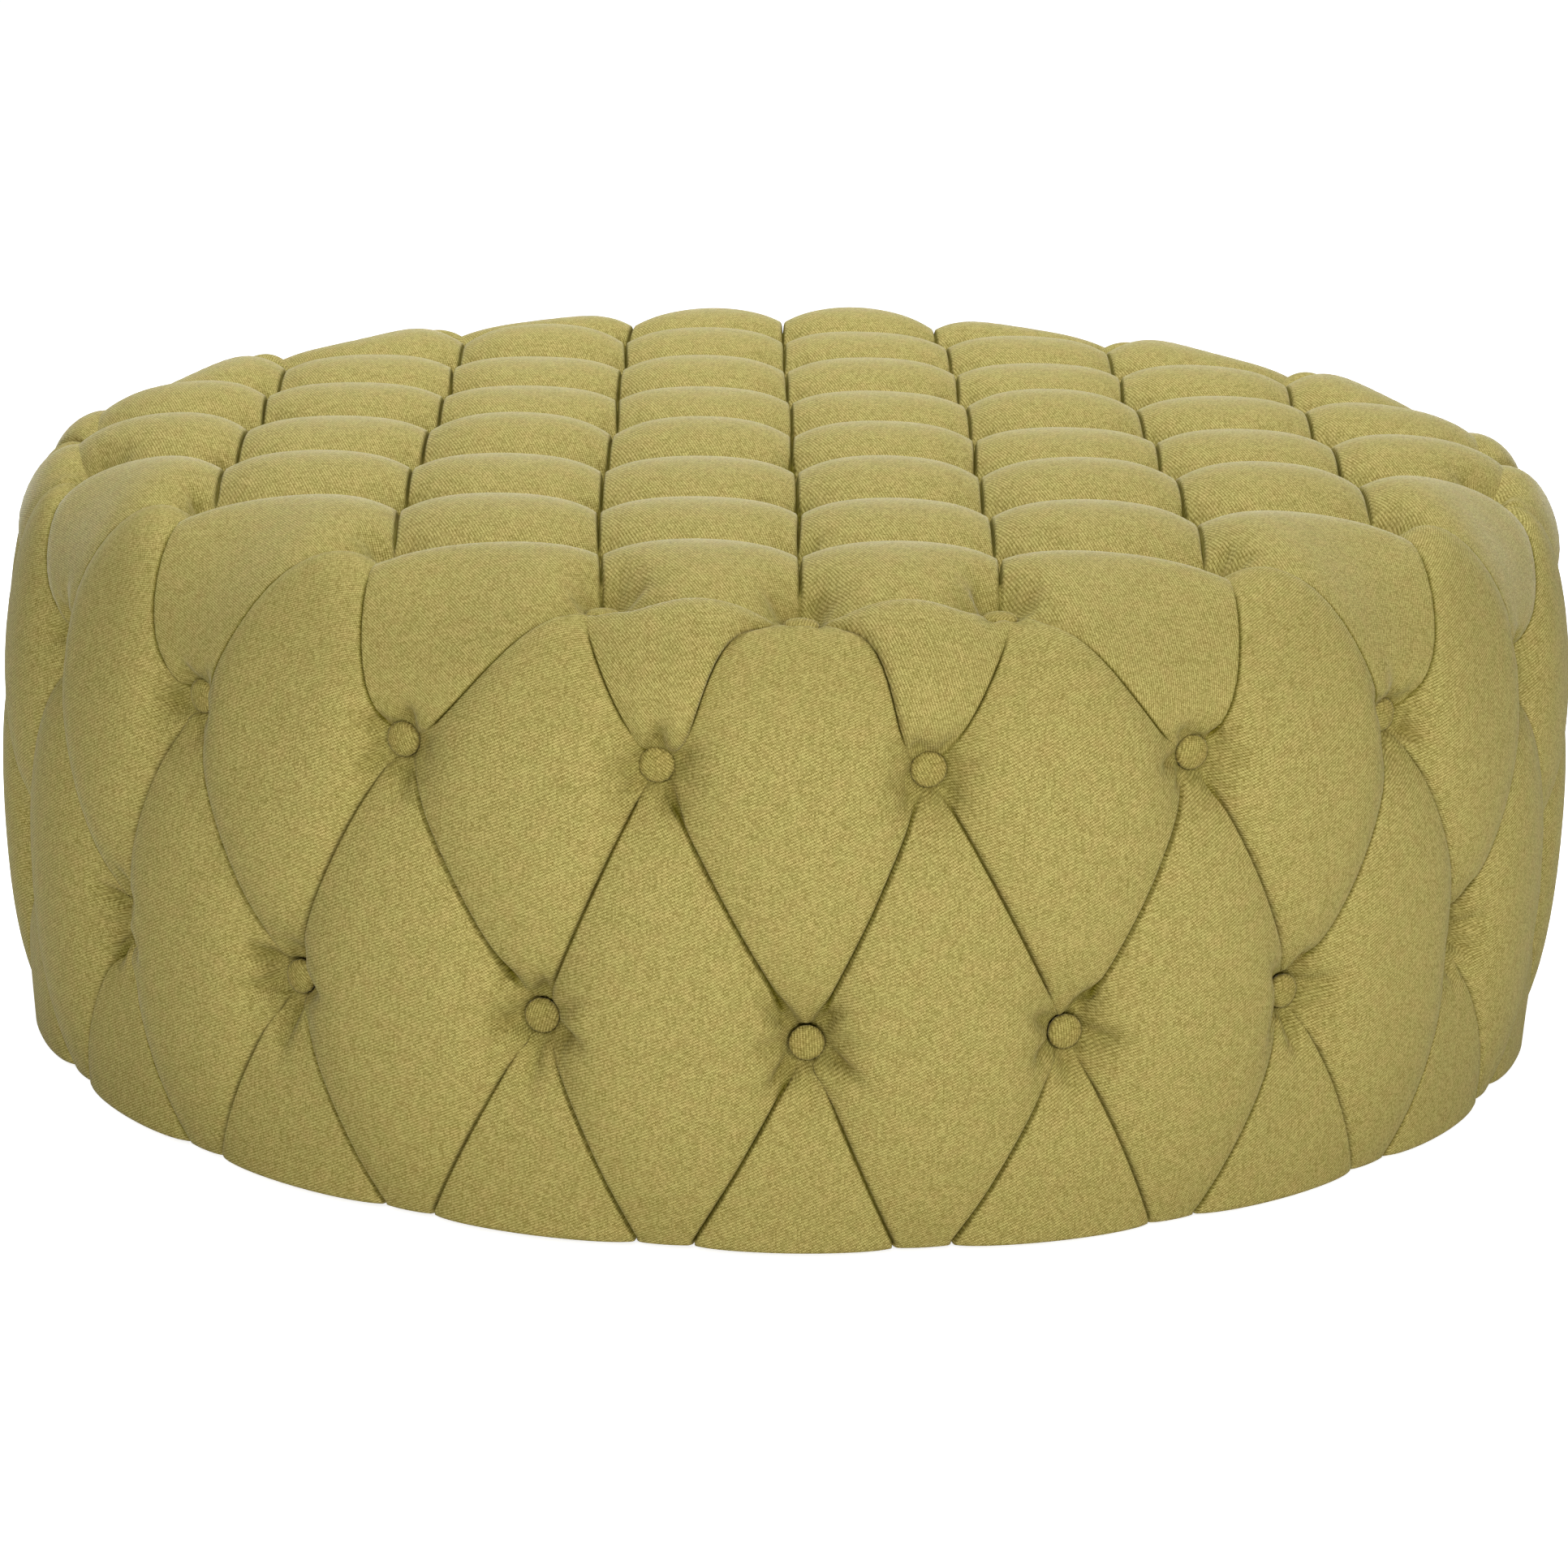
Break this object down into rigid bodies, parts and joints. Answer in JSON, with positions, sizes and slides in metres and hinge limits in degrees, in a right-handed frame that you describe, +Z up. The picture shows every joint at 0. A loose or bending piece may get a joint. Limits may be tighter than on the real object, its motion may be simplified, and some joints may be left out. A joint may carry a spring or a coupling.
{
  "type": "round tufted ottoman coffee table",
  "caption": "Low round upholstered ottoman with a square-tufted flat top, diamond-tufted side and covered buttons, on a plywood drum.",
  "frame": {"origin": "on the floor under the middle of the drum, between the glides", "axes": "+Z up, the front of the tuft grid faces -Y, +X to the right"},
  "size_m": [1.016, 1.016, 0.394],
  "materials": {
    "top_fabric": "olive-green linen-look twill",
    "side_fabric": "olive-green linen-look twill",
    "button_fabric": "covered in the same twill",
    "foam": "open-cell foam",
    "plywood": "raw plywood",
    "fibreboard": "raw hardboard",
    "softwood": "planed softwood",
    "dust_cloth": "black non-woven cloth",
    "staple_steel": "galvanised wire",
    "glide_plastic": "black nylon"
  },
  "bodies": {
    "root": {"top_cushion": "top_fabric", "side_cushion": "side_fabric", "top_buttons": "button_fabric", "upper_side_buttons": "button_fabric", "lower_side_buttons": "button_fabric", "top_foam": "foam", "side_foam": "foam", "deck_board": "plywood", "top_ring": "plywood", "base_ring": "plywood", "hub_spacer": "plywood", "side_wrap": "fibreboard", "deck_rail": "softwood", "deck_cross_rail": "softwood", "base_rail": "softwood", "base_cross_rail": "softwood", "centre_post": "softwood", "post_1": "softwood", "post_2": "softwood", "post_3": "softwood", "post_4": "softwood", "post_5": "softwood", "post_6": "softwood", "post_7": "softwood", "post_8": "softwood", "dust_cover": "dust_cloth", "dust_cover_staples": "staple_steel", "glides": "glide_plastic"}
  },
  "joints": []
}
